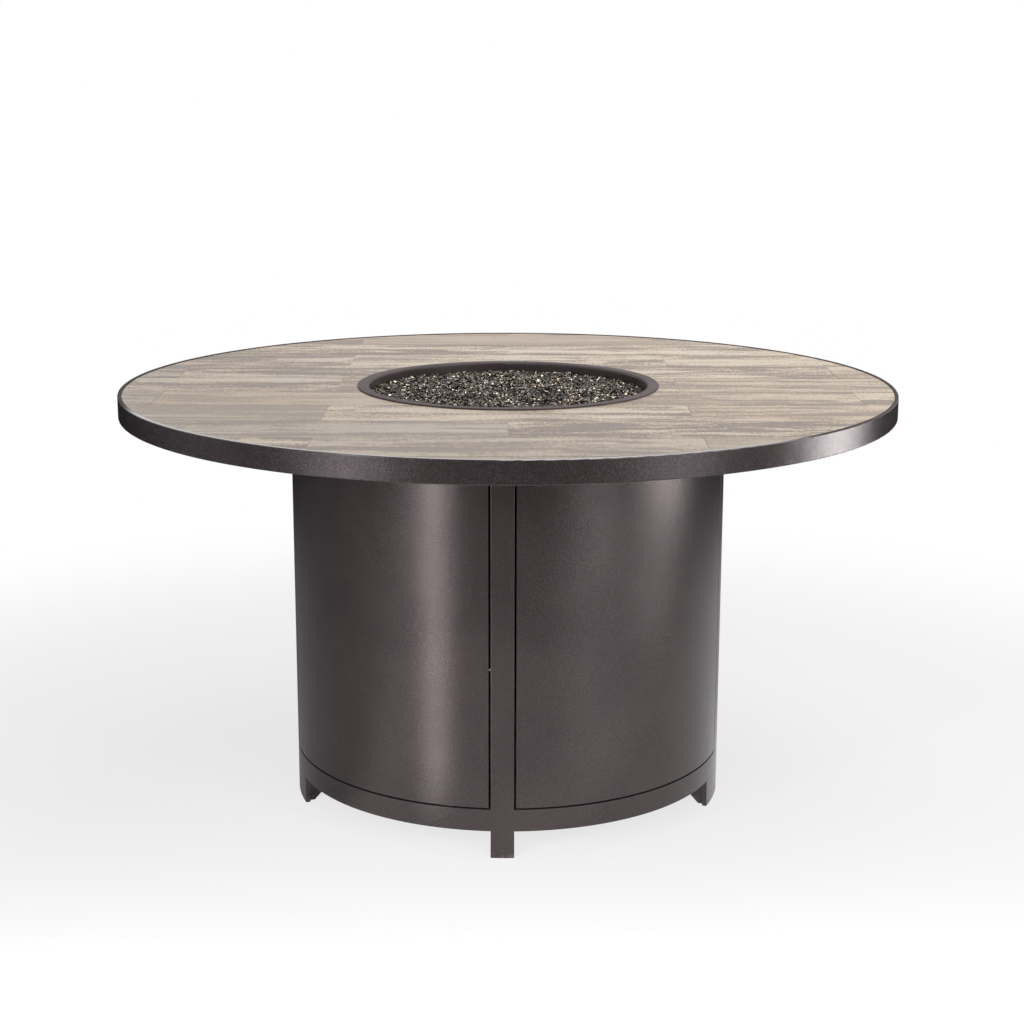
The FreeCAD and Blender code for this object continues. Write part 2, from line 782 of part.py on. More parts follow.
# The fixed leaf has a knuckle at each end and the door's leaf has the long one between them
def make_fixed_leaves():
    near = hinge_leaf_gap / 2
    ends = [(0, hinge_end_knuckle), (hinge_height - hinge_end_knuckle, hinge_height)]
    middle = [(hinge_end_knuckle, hinge_height - hinge_end_knuckle)]
    return make_hinge_leaf(-near - hinge_leaf, -near, ends, middle, pin_radius)


def make_door_leaves():
    near = hinge_leaf_gap / 2
    low = hinge_end_knuckle + hinge_knuckle_gap
    high = hinge_height - low
    return make_hinge_leaf(near, near + hinge_leaf, [(low, high)], [(0, low), (high, hinge_height)],
                           pin_radius + pin_fit)


def make_hinge_pins():
    pin = drum(pin_radius, 0, hinge_height, hinge_radius)
    pin = turned(pin.fuse(drum(pin_head_radius, hinge_height, hinge_height + pin_head_height, hinge_radius)),
                 hinge_angle)
    return [moved(pin, 0, 0, level) for level in hinge_levels()]


def strike_span():
    end = rear_angle - post_edge_angle - math.degrees(strike_edge_gap / base_inside)
    return end - math.degrees(strike_width / base_inside), end


# Magnet block under the upper ring, behind the door's free corner
def make_catch_magnet():
    start, end = strike_span()
    face = base_inside - strike_thickness - catch_gap
    back = face - catch_depth
    low = sector(back, face, strike_bottom, upper_ring_bottom, start, end)
    high = sector(back, base_inside, upper_ring_bottom, upper_ring_bottom + clip_grip, start, end)
    return low.fuse(high)


def make_catch_strike():
    start, end = strike_span()
    return sector(base_inside - strike_thickness, base_inside, strike_bottom, panel_top - strike_lip_margin,
                  start, end)


def make_door_pull():
    tip = base_radius + pull_stand
    neck = rod_out(pull_neck_radius, base_radius - pull_neck_radius, tip - pull_head, 0, 0)
    head = rod_out(pull_radius, tip - pull_head, tip, 0, 0)
    rims = [edge for edge in head.Edges if edge.BoundBox.XLength < 0.01]
    pull = head.makeFillet(pull_round, rims).fuse(neck)
    pull = moved(pull, 0, 0, (panel_bottom + panel_top) / 2).cut(drum(base_radius, 0, table_height))
    return turned(pull, rear_angle - post_edge_angle - math.degrees(pull_from_edge / base_radius))


# Writes one file for each named piece or group of equal pieces
def write(name, shape):
    solids = shape if isinstance(shape, list) else [shape]
    solids = [solid for item in solids for solid in item.Solids]
    for solid in solids:
        assert solid.isValid() and solid.Volume > 0, name
    whole = solids[0] if len(solids) == 1 else Part.makeCompound(solids)
    whole.exportStep("parts/" + name + ".step")
    print(name, len(solids), round(sum(solid.Volume for solid in solids)))


def main():
    os.makedirs("parts", exist_ok=True)
    near, far = post_edge_angle, panel_far_angle
    front_left = (front_angle - far, front_angle - near)
    front_right = (front_angle + near, front_angle + far)
    rear_left = (rear_angle + near, rear_angle + far)
    door = (rear_angle - far, rear_angle - near)
    fixed = [front_left, front_right, rear_left]
    rows = [make_tile_row(row) for row in range(-rows_beside_middle, rows_beside_middle + 1)]
    rings = [hoop(base_inside, base_radius, leg_height, ring_top),
             hoop(base_inside, base_radius, upper_ring_bottom, rim_bottom)]

    write("top_rim", make_top_rim())
    write("top_hub_ring", make_top_hub_ring())
    write("top_spokes", make_top_spokes())
    write("backer_board", make_backer_board())
    write("tile_grout", make_tile_grout(rows))
    write("tile_slivers", rows[0] + rows[-1])
    for index, row in enumerate(rows[1:-1]):
        write("tile_row_" + str(index + 1), row)
    write("burner_bowl", make_burner_bowl())
    write("ring_burner", make_ring_burner())
    write("burner_locknut", make_burner_locknut())
    write("fire_glass", make_fire_glass())
    write("spark_electrode", make_spark_electrode())
    write("electrode_clip", make_electrode_clip())
    write("heat_shield", make_heat_shield())
    write("shield_standoffs", make_shield_standoffs())
    write("air_mixer", make_air_mixer())
    write("gas_elbow", make_gas_elbow())
    write("gas_pipe", make_gas_pipe())
    write("flare_nuts", make_flare_nuts())
    write("control_bracket", make_control_bracket())
    write("bracket_screws", make_bracket_screws())
    write("gas_valve", make_gas_valve())
    write("valve_stem", make_valve_stem())
    write("control_knob", make_control_knob())
    write("igniter_module", make_igniter_module())
    write("igniter_bezel", make_igniter_bezel())
    write("igniter_button", make_igniter_button())
    write("lower_ring", rings[0])
    write("upper_ring", rings[1])
    write("front_post", make_post(front_angle, rings))
    write("rear_post", make_post(rear_angle, rings))
    write("left_pillar", make_pillar(left_angle))
    write("right_pillar", make_pillar(right_angle))
    write("left_foot", make_side_foot(left_angle))
    write("right_foot", make_side_foot(right_angle))
    write("foot_gussets", make_foot_gussets())
    write("base_shelf", make_base_shelf())
    write("tank_ring", make_tank_ring())
    write("panel_front_left", make_fixed_panel(*front_left))
    write("panel_front_right", make_fixed_panel(*front_right))
    write("panel_rear_left", make_fixed_panel(*rear_left))
    write("panel_clips", make_panel_clips(fixed))
    write("panel_screws", make_panel_screws(fixed))
    write("top_tabs", make_top_tabs())
    write("top_bolts", make_top_bolts())
    write("door_panel", make_panel(*door))
    write("hinge_fixed_leaves", make_fixed_leaves())
    write("hinge_door_leaves", make_door_leaves())
    write("hinge_pins", make_hinge_pins())
    write("catch_magnet", make_catch_magnet())
    write("catch_strike", make_catch_strike())
    write("door_pull", make_door_pull())


main()
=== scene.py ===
# Round fire pit table: plank tiles in a metal rim, a burner bowl full of crushed glass,
# and a drum base of rings, posts and curved panels. Metres, +Z up, front post towards -Y.
import bpy
import bmesh
import json
import math
import random
from mathutils import Matrix, Vector, noise


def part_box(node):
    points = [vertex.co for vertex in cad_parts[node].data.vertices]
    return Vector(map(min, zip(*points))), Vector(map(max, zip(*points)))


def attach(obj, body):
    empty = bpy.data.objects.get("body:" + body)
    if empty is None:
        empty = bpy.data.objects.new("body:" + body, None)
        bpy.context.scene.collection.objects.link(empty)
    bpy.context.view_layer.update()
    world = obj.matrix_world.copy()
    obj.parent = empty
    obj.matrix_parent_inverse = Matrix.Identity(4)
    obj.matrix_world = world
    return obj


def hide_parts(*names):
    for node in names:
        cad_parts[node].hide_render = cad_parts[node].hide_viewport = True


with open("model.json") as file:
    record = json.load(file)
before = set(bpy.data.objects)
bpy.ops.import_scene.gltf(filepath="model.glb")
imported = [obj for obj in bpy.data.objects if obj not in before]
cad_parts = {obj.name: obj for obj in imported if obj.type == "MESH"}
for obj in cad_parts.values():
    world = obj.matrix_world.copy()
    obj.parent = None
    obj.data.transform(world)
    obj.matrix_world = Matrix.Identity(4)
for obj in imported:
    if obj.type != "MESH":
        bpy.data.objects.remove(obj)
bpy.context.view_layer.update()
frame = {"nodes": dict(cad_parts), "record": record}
nodes = frame["nodes"]
print("frame loaded:", len(nodes), "nodes")


class Signal:  # an output of a node; arithmetic on it adds Math nodes
    def __init__(self, paint, socket):
        self.paint = paint
        self.socket = socket

    def apply(self, operation, *others):
        return self.paint.node("ShaderNodeMath", {"operation": operation},
                               dict(enumerate((self,) + others)))

    def flipped(self, operation, other):
        return self.paint.node("ShaderNodeMath", {"operation": operation}, {0: other, 1: self})

    def __add__(self, other):
        return self.apply("ADD", other)

    def __radd__(self, other):
        return self.flipped("ADD", other)

    def __sub__(self, other):
        return self.apply("SUBTRACT", other)

    def __rsub__(self, other):
        return self.flipped("SUBTRACT", other)

    def __mul__(self, other):
        return self.apply("MULTIPLY", other)

    def __rmul__(self, other):
        return self.flipped("MULTIPLY", other)

    def __truediv__(self, other):
        return self.apply("DIVIDE", other)

    def __pow__(self, other):
        return self.apply("POWER", other)


class Paint:  # the nodes of a material or of the world
    def __init__(self, owner):
        self.owner = owner
        self.owner.use_nodes = True
        self.tree = self.owner.node_tree
        self.tree.nodes.clear()

    def node(self, kind, settings=None, values=None, out=0):
        made = self.tree.nodes.new(kind)
        for key, value in (settings or {}).items():
            if key == "stops":
                self.setStops(made.color_ramp, value)
            else:
                setattr(made, key, value)
        for key, value in (values or {}).items():
            if isinstance(value, Signal):
                self.tree.links.new(value.socket, made.inputs[key])
            else:
                made.inputs[key].default_value = value
        return Signal(self, made.outputs[out]) if made.outputs else None

    def setStops(self, ramp, stops):
        while len(ramp.elements) < len(stops):
            ramp.elements.new(1.0)
        for element, (position, colour) in zip(ramp.elements, stops):
            element.position = position
            element.color = colour

    def place(self):  # where on the object, in metres
        return self.node("ShaderNodeTexCoord", out="Object")

    def stretch(self, vector, scale, turn=0.0):
        return self.node("ShaderNodeMapping", {}, {
            "Vector": vector, "Rotation": (0, 0, math.radians(turn)), "Scale": scale})

    def grain(self, vector, scale, detail=2.0, roughness=0.5, distortion=0.0):
        return self.node("ShaderNodeTexNoise", {}, {
            "Vector": vector, "Scale": scale, "Detail": detail, "Roughness": roughness,
            "Distortion": distortion})

    def cells(self, vector, scale):  # random levels, one set for each cell
        return self.parts(self.node("ShaderNodeTexVoronoi", {"feature": "F1"},
                                    {"Vector": vector, "Scale": scale}, out="Color"))

    def parts(self, vector):
        split = self.node("ShaderNodeSeparateXYZ", {}, {0: vector})
        return [Signal(self, output) for output in split.socket.node.outputs]

    def vector(self, x, y, z):
        return self.node("ShaderNodeCombineXYZ", {}, {0: x, 1: y, 2: z})

    def between(self, value, low, high, first=0.0, last=1.0):  # eased step from first to last
        return self.node("ShaderNodeMapRange", {"interpolation_type": "SMOOTHSTEP"}, {
            "Value": value, "From Min": low, "From Max": high, "To Min": first, "To Max": last})

    def ramp(self, value, stops):
        return self.node("ShaderNodeValToRGB", {"stops": stops}, {0: value})

    def mix(self, amount, first, second):
        return self.node("ShaderNodeMix", {"data_type": "RGBA"},
                         {0: amount, 6: first, 7: second}, out=2)

    def coat(self, colour, roughness, metallic, height, relief, **constants):
        bump = self.node("ShaderNodeBump", {}, {"Height": height, "Distance": relief,
                                                "Strength": 1.0})
        values = {"Base Color": colour, "Roughness": roughness, "Metallic": metallic,
                  "Normal": bump}
        for key, value in constants.items():
            values[key.replace("_", " ")] = value
        return self.node("ShaderNodeBsdfPrincipled", {}, values)

    def surface(self, *values, **constants):
        return self.cover(self.coat(*values, **constants))

    def rays(self):
        return [self.node("ShaderNodeLightPath", out=ray)
                for ray in ("Is Camera Ray", "Is Glossy Ray", "Is Transmission Ray")]

    def blend(self, share, first, second):
        return self.node("ShaderNodeMixShader", {}, {0: share, 1: first, 2: second})

    def cover(self, shader, output="ShaderNodeOutputMaterial"):
        self.node(output, {}, {"Surface": shader})
        return self.owner


def tone(red, green, blue):  # screen colour, 0 to 255, as the renderer wants it
    def linear(level):
        level = level / 255
        return level / 12.92 if level <= 0.04045 else ((level + 0.055) / 1.055) ** 2.4
    return (linear(red), linear(green), linear(blue), 1.0)


# In the dictionaries of materials a size is in features per metre, a span gives the levels
# of noise over which a colour comes in, and a line gives two places in metres
powderCoat = {
    "shade": tone(71, 62, 63),
    "deep": tone(62, 54, 55),
    "flake": tone(146, 139, 142),
    "scuff": tone(100, 92, 90),
    "driftSize": 5.0,
    "lumpSize": 330.0,
    "speckSize": 1100.0,
    "flakeSize": 1100.0,
    "scuffSize": 90.0,
    "driftSpan": (0.3, 0.7),
    "lumpSpan": (0.4, 0.8),
    "flakeSpan": (0.78, 0.98),
    "scuffSpan": (0.48, 0.62),
    "fleckShare": (0.10, 0.26),  # on the drum and on the rim
    "lumpShare": 0.7,
    "scuffShare": 0.5,
    "rimLine": (0.690, 0.704),  # heights between which the drum's finish becomes the rim's
    "floorLine": (0.0, 0.02),  # heights over which the feet's scuffs fade
    "edgeLine": (0.7400, 0.7418),  # heights between which the rim's top edge begins
    "sheenFront": (-0.36, -0.46),  # how far forward that edge gets a clear coat instead of the dull finish, a painted highlight on the side facing the camera
    "sheenTurn": 0.2,  # and further on the left than on the right
    "roughness": 0.22,
    "lumpRough": 0.06,
    "flakeSmooth": 0.06,
    "scuffRough": 0.2,
    "metallic": 0.55,
    "shine": 0.40,
    "speckRelief": 0.5,
    "relief": 0.00036,
    "coatRoughness": 0.12,
    "dullRoughness": 0.6,
    "dullShine": 0.05,
}


def paintPowderCoat(name, values):
    paint = Paint(bpy.data.materials.new(name))
    place = paint.place()
    x, y, height = paint.parts(place)
    drift = paint.grain(place, values["driftSize"], detail=3.0)
    lumps = paint.grain(place, values["lumpSize"], detail=3.0, roughness=0.6)
    speck = paint.grain(place, values["speckSize"], detail=1.0)
    flake = paint.between(paint.cells(place, values["flakeSize"])[0], *values["flakeSpan"])
    colour = paint.mix(paint.between(drift, *values["driftSpan"]), values["deep"],
                       values["shade"])
    fleck = paint.between(height, *values["rimLine"], *values["fleckShare"])
    lumpy = paint.between(lumps, *values["lumpSpan"]) * fleck * values["lumpShare"]
    colour = paint.mix(lumpy, colour, values["flake"])
    colour = paint.mix(flake * fleck, colour, values["flake"])
    nearFloor = paint.between(height, *values["floorLine"], 1.0, 0.0)
    wear = paint.grain(place, values["scuffSize"], detail=4.0)
    scuff = nearFloor * paint.between(wear, *values["scuffSpan"])
    colour = paint.mix(scuff * values["scuffShare"], colour, values["scuff"])
    roughness = (values["roughness"] + values["lumpRough"] * lumps
                 - values["flakeSmooth"] * flake + values["scuffRough"] * scuff)
    relief = lumps + values["speckRelief"] * speck
    # the rim's top edge: a clear coat only at the front paints a highlight there, the rest of the
    # edge is dull
    edge = paint.between(height, *values["edgeLine"])
    front = paint.between(y + values["sheenTurn"] * x, *values["sheenFront"])
    glossy = paint.coat(colour, roughness, values["metallic"], relief, values["relief"],
                        Specular_IOR_Level=values["shine"],
                        Coat_Roughness=values["coatRoughness"], Coat_Weight=edge * front)
    dull = paint.coat(colour, values["dullRoughness"], 0.0, relief, values["relief"],
                      Specular_IOR_Level=values["dullShine"])
    return paint.cover(paint.blend(edge * (1 - front), glossy, dull))


bowlPaint = {
    "shade": tone(98, 86, 87),
    "deep": tone(78, 68, 69),
    "fleck": tone(130, 122, 116),
    "lowWallDark": tone(24, 19, 17),
    "driftSize": 9.0,
    "speckSize": 700.0,
    "driftSpan": (0.3, 0.7),
    "speckSpan": (0.5, 0.8),
    "speckShare": 0.35,
    "lowWallDarkShare": 0.1,
    "lowWallLine": (0.716, 0.741),  # heights over which the wall's darkening towards the glass fades out upwards
    "flangeLine": (0.7405, 0.7425),  # heights between which the wall's finish becomes duller
    "roughness": 0.30,
    "driftRough": 0.10,
    "flangeRough": 0.30,
    "metallic": 0.12,
    "shine": 0.20,
    "relief": 0.00008,
}


def paintBowl(name, values):
    paint = Paint(bpy.data.materials.new(name))
    place = paint.place()
    height = paint.parts(place)[2]
    drift = paint.grain(place, values["driftSize"], detail=4.0)
    speck = paint.grain(place, values["speckSize"])
    colour = paint.mix(paint.between(drift, *values["driftSpan"]), values["deep"],
                       values["shade"])
    specks = paint.between(speck, *values["speckSpan"]) * values["speckShare"]
    colour = paint.mix(specks, colour, values["fleck"])
    lowWallDark = paint.between(height, *values["lowWallLine"], 1.0, 0.0)
    colour = paint.mix(lowWallDark * values["lowWallDarkShare"], colour, values["lowWallDark"])
    roughness = (values["roughness"] + values["driftRough"] * drift
                 + values["flangeRough"] * paint.between(height, *values["flangeLine"]))
    return paint.surface(colour, roughness, values["metallic"], speck, values["relief"],
                         Specular_IOR_Level=values["shine"])


bareMetal = {
    "patchSize": 60.0,
    "spangleSize": 140.0,
    "patchSpan": (0.4, 0.75),
    "patchShare": 0.7,
    "spangleShare": 0.18,
    "lineRough": 0.16,
    "patchRough": 0.08,
    "relief": 0.00005,
    # bright and dull tone, least roughness, and marks per metre along x, y and z
    "burnerSteel": (tone(150, 146, 140), tone(120, 96, 70), 0.26, (900, 900, 60)),
    "zincPlate": (tone(168, 170, 172), tone(132, 134, 138), 0.32, (500, 500, 90)),
    "turnedBrass": (tone(196, 160, 88), tone(140, 104, 52), 0.24, (80, 80, 1200)),
}


def paintMetal(name, values):
    bright, dull, roughness, marks = values[name]
    paint = Paint(bpy.data.materials.new(name))
    place = paint.place()
    patches = paint.grain(place, values["patchSize"], detail=4.0, roughness=0.6, distortion=0.5)
    spangle = paint.cells(place, values["spangleSize"])[1]
    lines = paint.grain(paint.stretch(place, marks), 1.0)
    patchy = paint.between(patches, *values["patchSpan"]) * values["patchShare"]
    colour = paint.mix(patchy, bright, dull)
    colour = paint.mix(spangle * values["spangleShare"], colour, dull)
    finish = roughness + values["lineRough"] * lines + values["patchRough"] * patches
    return paint.surface(colour, finish, 1.0, lines, values["relief"])


# One material works out which plank it is on and gives each its own tone
planks = {
    "turn": 1.25,  # degrees between the rows and the base
    "length": 0.6015,  # with its joint
    "width": 0.1454,
    "joint": 0.0015,
    "bond": 0.5,  # how much of a plank each second row is shifted
    "luck": (3.5, 8.5, 7.7),  # where the planks' random numbers are read
    "apart": (31.0, 17.0, 9.0),  # how far apart the planks' streaks are read
    "streakRoughness": 0.55,
    "dark": tone(128, 111, 99),
    "brown": tone(165, 143, 123),
    "cream": tone(204, 183, 160),
    "pale": tone(226, 211, 191),
    "grey": tone(165, 153, 141),
    "warm": tone(195, 168, 140),
    # features per metre along and across the plank, detail, distortion and offset
    "bands": (1.8, 13.0, 3.0, 0.6, 0.0),
    "veins": (8.0, 46.0, 5.0, 0.5, 5.0),
    "fibres": (40.0, 320.0, 3.0, 0.0, 9.0),
    "ticks": (190.0, 70.0, 2.0, 0.0, 21.0),  # marks of the saw
    "seams": (1.6, 26.0, 4.0, 0.8, 14.0),
    "shares": (0.40, 0.34, 0.11, 0.15),  # of bands, veins, fibres and ticks in the tone
    "toneSpan": (0.428, 0.572),
    "brownAt": 0.28,
    "creamAt": 0.62,
    "greySpan": (0.35, 1.0),
    "greyShare": 0.55,
    "warmSpan": (0.5, 1.0),
    "warmShare": 0.35,
    "darkSpan": (0.60, 0.70),
    "darkShare": (0.35, 0.5),  # at least, and at most this much more
    "whiteSpan": (0.40, 0.30),
    "whiteShare": 0.5,
    "edgeLine": (0.0003, 0.0016),  # distances from the joint
    "edgeShare": 0.06,
    "roughness": 0.39,
    "veinRough": 0.16,
    "fibreSmooth": 0.1,
    "reliefs": (0.6, 0.5, 0.2, 0.4),  # of veins, fibres, ticks and the eased edge
    "relief": 0.00025,
}


def paintPlanks(name, values):
    paint = Paint(bpy.data.materials.new(name))
    length, width = values["length"], values["width"]
    x, y = paint.parts(paint.stretch(paint.place(), (1.0, 1.0, 1.0), -values["turn"]))[:2]
    row = (y / width + 0.5).apply("FLOOR")
    shift = row.apply("ABSOLUTE").apply("MODULO", 2.0) * values["bond"]
    along = x / length - shift
    piece = (along + 0.5).apply("FLOOR")
    fromEnd = (0.5 - (along - piece).apply("ABSOLUTE")) * length
    fromSide = (0.5 - (y / width - row).apply("ABSOLUTE")) * width
    fromEdge = fromEnd.apply("MINIMUM", fromSide) - values["joint"] / 2
    rowLuck, pieceLuck, level = values["luck"]
    where = paint.vector(row + rowLuck, piece + pieceLuck, level)
    luck = paint.node("ShaderNodeTexWhiteNoise", {"noise_dimensions": "3D"}, {"Vector": where},
                      out="Color")
    one, two, three = paint.parts(luck)
    apartX, apartY, apartZ = values["apart"]

    def streaks(lengthwise, across, detail, distortion, offset):  # each plank has its own
        vector = paint.vector(x * lengthwise + one * apartX + offset, y * across + two * apartY,
                              three * apartZ + offset)
        return paint.grain(vector, 1.0, detail, values["streakRoughness"], distortion)

    bands, veins, fibres, ticks, seams = [streaks(*values[kind]) for kind in (
        "bands", "veins", "fibres", "ticks", "seams")]
    bandShare, veinShare, fibreShare, tickShare = values["shares"]
    level = bandShare * bands + veinShare * veins + fibreShare * fibres + tickShare * ticks
    colour = paint.ramp(paint.between(level, *values["toneSpan"]), [
        (0.0, values["dark"]), (values["brownAt"], values["brown"]),
        (values["creamAt"], values["cream"]), (1.0, values["pale"])])
    grey = paint.between(one, *values["greySpan"]) * values["greyShare"]
    colour = paint.mix(grey, colour, values["grey"])
    warm = paint.between(two, *values["warmSpan"]) * values["warmShare"]
    colour = paint.mix(warm, colour, values["warm"])
    least, more = values["darkShare"]  # a few long dark streaks
    dark = paint.between(seams, *values["darkSpan"]) * (least + more * three)
    colour = paint.mix(dark, colour, values["dark"])
    white = paint.between(seams, *values["whiteSpan"]) * values["whiteShare"]
    colour = paint.mix(white, colour, values["pale"])
    edge = paint.between(fromEdge, *values["edgeLine"], 1.0, 0.0)
    colour = paint.mix(edge * values["edgeShare"], colour, values["dark"])
    roughness = values["roughness"] + values["veinRough"] * veins - values["fibreSmooth"] * fibres
    veinRelief, fibreRelief, tickRelief, edgeRelief = values["reliefs"]
    relief = (veinRelief * veins + fibreRelief * fibres + tickRelief * ticks
              - edgeRelief * edge)
    return paint.surface(colour, roughness, 0.0, relief, values["relief"])


mineral = {
    "cloudSize": 0.08,  # against the size of the grit
    "cloudSpan": (0.35, 0.65),
    "gritSpan": (0.55, 0.75),
    "gritShare": 0.5,
    "gritRough": 0.15,
    # light, dark and grit tone, grit per metre, roughness and relief
    # the grout's tones are lighter than its real colour, painted light that offsets the shade in
    # the narrow joints
    "grout": (tone(232, 218, 202), tone(214, 200, 184), tone(240, 228, 214), 900, 0.75, 0.0003),
    "cementBoard": (tone(158, 156, 150), tone(130, 128, 122), tone(186, 184, 178), 420, 0.8,
                    0.0006),
    "whiteCeramic": (tone(226, 220, 206), tone(206, 198, 182), tone(238, 234, 224), 500, 0.2,
                     0.0001),
}


def paintMineral(name, values):
    light, dark, gritTone, scale, roughness, relief = values[name]
    paint = Paint(bpy.data.materials.new(name))
    place = paint.place()
    clouds = paint.grain(place, scale * values["cloudSize"], detail=4.0, roughness=0.6)
    grit = paint.grain(place, scale, detail=3.0, roughness=0.7)
    colour = paint.mix(paint.between(clouds, *values["cloudSpan"]), dark, light)
    gritty = paint.between(grit, *values["gritSpan"]) * values["gritShare"]
    colour = paint.mix(gritty, colour, gritTone)
    return paint.surface(colour, roughness + values["gritRough"] * grit, 0.0, grit, relief)


plastic = {
    "skinSize": 900.0,
    "wearSize": 45.0,
    "wearSpan": (0.5, 0.75),
    "wearShare": 0.4,
    "roughness": 0.42,
    "skinRough": 0.14,
    "wearSmooth": 0.08,
    "relief": 0.00006,
    "blackPlastic": (tone(26, 26, 27), tone(58, 57, 56)),  # shade and rubbed tone
    "catchBlock": (tone(74, 60, 48), tone(104, 90, 76)),
}


def paintPlastic(name, values):
    shade, rubbed = values[name]
    paint = Paint(bpy.data.materials.new(name))
    place = paint.place()
    skin = paint.grain(place, values["skinSize"], roughness=0.6)
    wear = paint.grain(place, values["wearSize"], detail=4.0, roughness=0.6)
    colour = paint.mix(paint.between(wear, *values["wearSpan"]) * values["wearShare"], shade,
                       rubbed)
    roughness = values["roughness"] + values["skinRough"] * skin - values["wearSmooth"] * wear
    return paint.surface(colour, roughness, 0.0, skin, values["relief"])


glassPaint = {
    "black": tone(22, 18, 16),
    "bronze": tone(90, 79, 70),
    "amber": tone(172, 155, 133),
    "clear": tone(228, 220, 211),
    "bronzeAt": 0.55,
    "amberAt": 0.86,
    "cloudSize": 240.0,
    "cloudShare": 0.35,
    "mirrorSpan": (0.1, 0.8, 0.30, 0.75),  # pale chips have more of the reflective coat
    "roughness": 0.14,
    "cloudRough": 0.16,
    "relief": 0.0004,
}


def paintGlass(name, values):
    paint = Paint(bpy.data.materials.new(name))
    chip = paint.node("ShaderNodeAttribute", {"attribute_name": "chipTone"}, out="Fac")
    cloud = paint.grain(paint.place(), values["cloudSize"])
    colour = paint.ramp(chip, [
        (0.0, values["black"]), (values["bronzeAt"], values["bronze"]),
        (values["amberAt"], values["amber"]), (1.0, values["clear"])])
    colour = paint.mix(cloud * values["cloudShare"], colour, values["black"])
    mirror = paint.between(chip, *values["mirrorSpan"])
    return paint.surface(colour, values["roughness"] + values["cloudRough"] * cloud, mirror,
                         cloud, values["relief"])


materials = {
    "powder_coat": paintPowderCoat("bronzePowderCoat", powderCoat),
    "bowl_metal": paintBowl("bowlPaint", bowlPaint),
    "burner_steel": paintMetal("burnerSteel", bareMetal),
    "sheet_steel": paintMetal("zincPlate", bareMetal),
    "brass_fittings": paintMetal("turnedBrass", bareMetal),
    "planks": paintPlanks("woodLookPorcelain", planks),
    "grout": paintMineral("grout", mineral),
    "cement_board": paintMineral("cementBoard", mineral),
    "insulator": paintMineral("whiteCeramic", mineral),
    "fire_glass": paintGlass("crushedGlass", glassPaint),
    "black_plastic": paintPlastic("blackPlastic", plastic),
    "magnet": paintPlastic("catchBlock", plastic),
}
for entry in frame["record"]["subparts"]:
    obj = nodes[entry["node"]]
    for slot in obj.material_slots:
        slot.material = materials[entry["material_slot"]]
    if not obj.material_slots:
        obj.data.materials.append(materials[entry["material_slot"]])
print("materials painted:", len(materials))


glass = {
    "inside": 0.2480,  # radius of the bowl
    "edge": 0.0006,  # room to the bowl's wall
    "drop": 0.0190,  # level of the glass below the flange
    "crown": 0.0035,
    "moundRise": 0.0042,
    "moundRoot": 0.0025,  # how far a mound's foot goes under the crown
    "moundRadius": 0.0420,
    "moundStep": 0.0800,
    "moundTurn": -30.0,
    "moundVariation": 0.2,
    "uneven": 0.00175,
    "unevenSize": 41,
    "unevenPlace": 7.7,
    "bedBelow": 0.0050,  # the bed that closes the gaps between the chips lies lower
    "bedRings": 20,
    "bedSteps": 72,
    "bedRound": 0.008,  # at the foot of the bowl's wall
    "bedLift": 0.0002,  # over the bowl's floor
    "burnerRadius": 0.182,  # the hollow over the burner
    "burnerHeight": 0.031,
    # the bed's one dark tone is painted shade in the gaps between the chips
    "bedShadeTone": 0.12,
    "merge": 0.00001,  # points nearer than this become one
    "close": 0.0001,  # places nearer than this count as one
    "seed": 11,
    "shapes": 16,
    "chipRadius": 0.55,
    "chipUneven": 0.16,
    "spacing": 0.0040,
    "rowStep": 0.866,  # distance of the rows, against the spacing
    "jitter": 0.4,
    "size": (0.0046, 0.0074),
    "wallRoom": 0.62,  # how much of its size a chip stays off the bowl's wall
    "tilt": 0.9,
    "breadth": (0.6, 1.0),
    "thickness": (0.42, 0.8),
    "lift": (-0.0018, 0.0040),  # how far the chips' middles lie from the level of the glass
    "toneBias": 1.3,  # above 1, so that dark chips are the more common
}
glassReach = glass["inside"] - glass["edge"]


def chipShape(seed):  # a shard with eight uneven faces
    dice = random.Random(seed)
    uneven = glass["chipUneven"]
    lump = bmesh.new()
    bmesh.ops.create_uvsphere(lump, u_segments=4, v_segments=2, radius=glass["chipRadius"])
    for vert in lump.verts:
        vert.co += Vector([dice.uniform(-uneven, uneven) for axis in range(3)])
    bmesh.ops.recalc_face_normals(lump, faces=lump.faces[:])
    mesh = bpy.data.meshes.new("chipShape")
    lump.to_mesh(mesh)
    lump.free()
    return mesh


def crownLevel(far):
    return glass["crown"] * (1 - (far / glass["inside"]) ** 2)


def layMounds():  # the same low mounds as in the solid: place, radius of the ball, and its top
    mounds = []
    room = glassReach - glass["moundRadius"]
    for index in range(int(math.pi * (room / glass["moundStep"]) ** 2 + 0.5)):
        far = glass["moundStep"] * math.sqrt((index + 0.5) / math.pi)
        turn = math.radians(glass["moundTurn"] + index * 180 * (3 - math.sqrt(5)))
        rise = glass["moundRise"] * (1 - glass["moundVariation"] * (1 - math.cos(index)))
        depth = rise + glass["moundRoot"]
        ball = (glass["moundRadius"] ** 2 + depth ** 2) / (2 * depth)
        mounds.append((far * math.cos(turn), far * math.sin(turn), ball, crownLevel(far) + rise))
    return mounds


def bedLevel(x, y):  # height of the glass above its level at the wall
    level = crownLevel(min(math.hypot(x, y), glass["inside"]))
    for moundX, moundY, ball, top in mounds:
        across = math.hypot(x - moundX, y - moundY)
        if across < glass["moundRadius"]:
            level = max(level, top - ball + math.sqrt(ball ** 2 - across ** 2))
    size = glass["unevenSize"]
    place = Vector((x * size, y * size, glass["unevenPlace"]))
    return level + glass["uneven"] * noise.noise(place)


def sortByPlace(items, place):  # the operators leave the order of what they make to chance
    def rounded(item):
        return [round(value / glass["close"]) for value in place(item)]
    for index, item in enumerate(sorted(items, key=rounded)):
        item.index = index
    items.sort()


